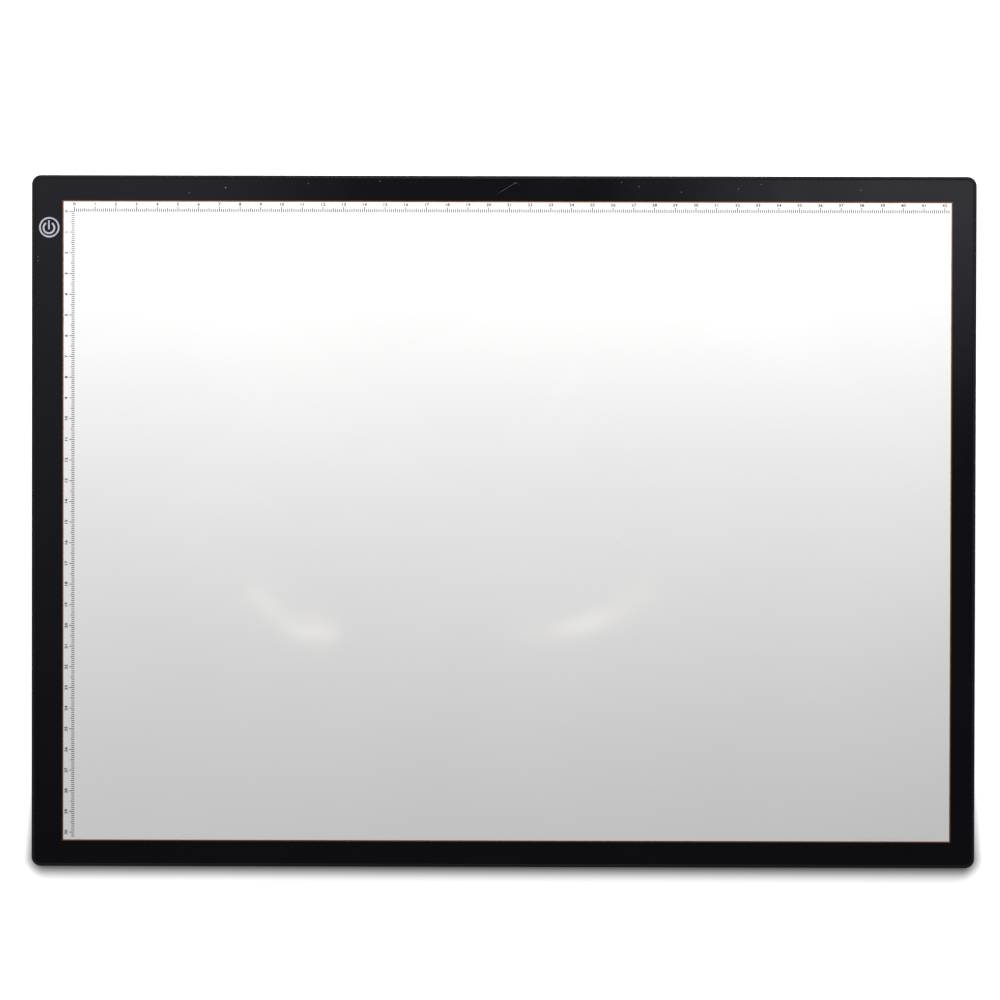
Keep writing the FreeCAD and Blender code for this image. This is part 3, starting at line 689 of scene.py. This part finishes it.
def clear_of_shadow(s):
    """0 at the pad's near edge, rising to 1 past the soft shadow painted there, which dies away up both
    sides.
    """
    x, y, _ = s.axes(s.place)
    under = s.span(y, body_low.y, body_low.y + SIDE_FADE, SIDE_UNDER_NEAR, SIDE_UNDER)
    beside = s.maths("SUBTRACT", s.maths("ABSOLUTE", x), body_high.x - SHADOW_CORNER)
    past_side = s.maths("MAXIMUM", s.maths("ADD", beside, under), 0.0)
    past_near = s.maths("MAXIMUM", s.maths("SUBTRACT", body_low.y + SHADOW_CORNER, y), 0.0)
    squares = s.maths("ADD", s.maths("POWER", past_side, 2.0), s.maths("POWER", past_near, 2.0))
    round_the_corner = s.maths("SUBTRACT", s.maths("SQRT", squares), SHADOW_CORNER)
    past_far = s.maths("SUBTRACT", y, body_high.y - SIDE_UNDER)
    outside = s.maths("MAXIMUM", round_the_corner, past_far)
    return s.span(outside, SHADOW_FROM, SHADOW_REACH, 0.0, 1.0, "SMOOTHSTEP")


def floor_material():
    """White paper with a painted shadow: grey and without glow near the pad, glowing to full white
    clear of it.
    """
    s = Shader("floor")
    clear = clear_of_shadow(s)
    paper = s.blend(s.noise(0.4, detail=2.0), (0.88, 0.88, 0.87), (0.92, 0.92, 0.91))
    # painted shadow: the paper's colour darkens to grey near the pad
    s.colour(s.blend(clear, grey(0.20), paper))
    # painted light: the floor glows everywhere but in the painted shadow
    s.link(s.maths("MULTIPLY", clear, PAINTED_FLOOR_GLOW), s.surface.inputs["Emission Strength"])
    s.set(Roughness=0.9, Emission_Color=(1.0, 1.0, 1.0, 1.0))
    return s.material


def make_floor():
    """White floor, lifted to full white by a painted glow, except in a soft shadow painted round the
    near edge.
    """
    mesh = bmesh.new()
    bmesh.ops.create_grid(mesh, x_segments=1, y_segments=1, size=FLOOR_SIZE / 2)
    data = bpy.data.meshes.new("floor")
    mesh.to_mesh(data)
    mesh.free()
    data.materials.append(floor_material())
    floor = bpy.data.objects.new("floor", data)
    bpy.context.scene.collection.objects.link(floor)


# ---------------------------------------------------------------- studio light

WALL_LIGHT = 0.30
CEILING_LIGHT = 0.08
CEILING_FROM = 0.90
CEILING_ABOVE = 0.975
ROOM_COLOUR = (0.95, 0.95, 1.0, 1.0)
SOFT_PANEL_CURVE = 1.6


def soft_panel(nodes, aside, far, aside_range, far_range, brightness):
    """Dim light that grows over one range sideways and over another towards the ceiling's far end."""
    side = nodes.span(aside, *aside_range, 0.0, 1.0, "SMOOTHSTEP")
    depth = nodes.maths("POWER", nodes.span(far, *far_range, 0.0, 1.0), SOFT_PANEL_CURVE)
    return nodes.maths("MULTIPLY", nodes.maths("MULTIPLY", side, depth), brightness)


def make_world():
    """Studio room: pale walls, a dark ceiling, and two dim soft panels on the ceiling's far side.

    Places on the ceiling are given as how far the direction leans sideways and away, per unit up.
    """
    world = bpy.data.worlds.new("studio")
    world.use_nodes = True
    nodes = Nodes(world.node_tree)
    x, y, up = nodes.axes(nodes.node("ShaderNodeTexCoord").outputs["Generated"])
    aside = nodes.maths("DIVIDE", x, up)
    far = nodes.maths("DIVIDE", y, up)
    left = soft_panel(nodes, aside, far, (-0.045, -0.09), (-0.12, 0.09), brightness=0.46)
    right = soft_panel(nodes, aside, far, (0.038, 0.09), (0.0, 0.07), brightness=0.84)
    ceiling = nodes.maths("ADD", nodes.maths("ADD", left, right), CEILING_LIGHT)
    overhead = nodes.span(up, CEILING_FROM, CEILING_ABOVE, 0.0, 1.0, "SMOOTHSTEP")
    walls = nodes.maths("MULTIPLY", nodes.maths("SUBTRACT", 1.0, overhead), WALL_LIGHT)
    total = nodes.maths("ADD", nodes.maths("MULTIPLY", ceiling, overhead), walls)
    background = world.node_tree.nodes["Background"]
    background.inputs["Color"].default_value = ROOM_COLOUR
    nodes.link(total, background.inputs["Strength"])
    bpy.context.scene.world = world


LAMP_HEIGHT = 2.6
LAMP_THICK = 0.012
WARM = (1.0, 0.99, 0.76)

# two bent rows of small lamps: where each is mirrored in the panel, its length, turn and watts
WARM_LAMPS = (
    (-0.1155, -0.0405, 0.060, -42.0, 0.0075),
    (-0.0935, -0.0525, 0.075, -7.0, 0.0190),
    (0.0160, -0.0540, 0.060, 6.0, 0.0035),
    (0.0390, -0.0500, 0.080, 16.0, 0.0190),
    (0.0605, -0.0390, 0.080, 33.0, 0.0085),
)


def area_light(name, place, target, size, watts, colour=(1.0, 1.0, 1.0), shape="RECTANGLE"):
    """Flat light at a place, turned to face the target."""
    data = bpy.data.lights.new(name, "AREA")
    data.shape = shape
    data.size, data.size_y = size
    data.energy = watts
    data.color = colour
    light = bpy.data.objects.new(name, data)
    light.location = place
    light.rotation_euler = (Vector(target) - Vector(place)).to_track_quat("-Z", "Y").to_euler()
    bpy.context.scene.collection.objects.link(light)
    return light


def mirrored(x, y):
    """Where a lamp at LAMP_HEIGHT hangs to be mirrored at x, y of the panel for the camera."""
    reach = LAMP_HEIGHT / CAMERA_HEIGHT
    return (x + (x - CAMERA_ASIDE) * reach, y + (y - CAMERA_AWAY) * reach, LAMP_HEIGHT)


def make_lights():
    """A wide low softbox at the far side, a weak fill from the left and the small lamps overhead."""
    area_light("far_softbox", place=(0.01, 0.36, 0.27), target=(0, 0, 0), size=(1.2, 0.25), watts=5.27)
    area_light(
        "left_fill", place=(-0.75, -0.35, 0.45), target=(-0.2, -0.1, 0), size=(0.3, 0.3), watts=1.05
    )
    for x, y, length, turn, watts in WARM_LAMPS:
        place = mirrored(x, y)
        floor_below = (place[0], place[1], 0.0)
        lamp = area_light("warm_lamp", place, floor_below, (length, LAMP_THICK), watts, WARM, "ELLIPSE")
        lamp.rotation_euler.z = math.radians(turn)


# ---------------------------------------------------------------- what each CAD node is made of


def paint_casing():
    frame_abs = moulded_plastic(
        "frame_plastic", (0.006, 0.006, 0.0066), grain=0.4 * MM, relief=0.02 * MM, rough=(0.62, 0.76)
    )
    cover_abs = moulded_plastic(
        "cover_plastic", (0.020, 0.020, 0.022), grain=0.6 * MM, relief=0.04 * MM, rough=(0.48, 0.62)
    )
    foot_rubber = soft_rubber("foot_rubber", (0.028, 0.028, 0.030))
    screw_steel = metal("screw_steel", (0.42, 0.42, 0.44), rough=(0.22, 0.40))
    paint(frame_abs, "frame")
    paint(cover_abs, "rear_cover")
    paint(foot_rubber, "foot_far_left", "foot_far_right", "foot_near_left", "foot_near_right")
    paint(screw_steel, "cover_screws", "board_screws")


def paint_face():
    paint(white_acrylic(), "front_panel")
    paint(black_print(), "border_print")
    paint(printed_ink("line_print", (0.13, 0.046, 0.012), rough=0.4), "edge_line_print")


def paint_optics():
    adhesive = film("adhesive", grey(0.5), rough=0.6, fleck_size=0.8 * MM)
    diffuser = film("diffuser_film", grey(0.9), rough=0.5, fleck_size=0.3 * MM)
    reflector = film("reflector_film", grey(0.95), rough=0.35, fleck_size=0.5 * MM)
    paint(adhesive, "panel_tape", "strip_tape_far", "strip_tape_near")
    paint(diffuser, "diffuser_sheet")
    paint(reflector, "reflector_sheet")
    paint(light_guide(), "light_guide_plate")
    paint(foam(), "foam_strip_left", "foam_strip_right")


def paint_strips():
    strip_board = circuit_board("strip_board", (0.80, 0.81, 0.78), (0.62, 0.63, 0.58))
    paint(strip_board, "led_strip_far", "led_strip_near")
    paint(led_package(), "leds_far", "leds_near")


def paint_socket():
    steel = metal("stamped_steel", (0.72, 0.72, 0.73), rough=(0.20, 0.34), grain=(0.1, 1.0, 1.0))
    plastic = moulded_plastic(
        "socket_plastic", grey(0.02), grain=0.3 * MM, relief=0.01 * MM, rough=(0.4, 0.5)
    )
    gold = metal("gold_contact", (0.85, 0.62, 0.28), rough=(0.15, 0.3))
    paint(steel, "usb_socket_shell")
    paint(plastic, "usb_socket_tongue")
    paint(gold, "usb_socket_contacts")


def paint_electronics():
    chips = ("led_driver_chip", "touch_chip", "switch_transistor", "schottky_diode")
    chip_plastic = moulded_plastic(
        "chip_plastic", grey(0.02), grain=0.2 * MM, relief=0.01 * MM, rough=(0.45, 0.6)
    )
    spring = metal("spring_metal", (0.80, 0.68, 0.42), rough=(0.2, 0.35), grain=(1.0, 0.1, 1.0))
    paint(circuit_board("green_board", (0.015, 0.16, 0.06), (0.03, 0.26, 0.10)), "control_board")
    paint(chip_plastic, *chips)
    paint(fired_ceramic("ferrite", (0.10, 0.10, 0.105)), "boost_inductor")
    paint(fired_ceramic("capacitor_ceramic", (0.50, 0.36, 0.22)), "ceramic_capacitors")
    paint(fired_ceramic("resistor_ceramic", (0.04, 0.04, 0.05)), "chip_resistors")
    paint(spring, "touch_spring")


def paint_wires():
    red = film("red_insulation", (0.55, 0.02, 0.02), rough=0.45, fleck_size=0.6 * MM)
    black = film("black_insulation", grey(0.015), rough=0.45, fleck_size=0.6 * MM)
    paint(red, "red_wire_far", "red_wire_near")
    paint(black, "black_wire_far", "black_wire_near")
    paint(metal("solder", (0.75, 0.75, 0.77), rough=(0.12, 0.3)), "solder_joints")


def print_face():
    """The rulers, the power symbol and the wear, which the CAD model leaves out."""
    ruler_ink = printed_ink("ruler_ink", (0.022, 0.022, 0.025), rough=0.35)
    far_ticks(ruler_ink)
    left_ticks(ruler_ink)
    far_digits(ruler_ink)
    left_digits(ruler_ink)
    power_symbol(printed_ink("key_ink", (0.33, 0.34, 0.39), rough=0.35))
    border_wear(printed_ink("worn_print", (0.10, 0.10, 0.11), rough=0.5))
    panel_scratch(printed_ink("scratched_acrylic", grey(0.84), rough=0.4))


# ---------------------------------------------------------------- build

make_camera()
make_world()
make_lights()
make_floor()
paint_casing()
paint_face()
paint_optics()
paint_strips()
paint_socket()
paint_electronics()
paint_wires()
print_face()

view = bpy.context.scene.view_settings
view.view_transform = "Standard"
view.look = "None"
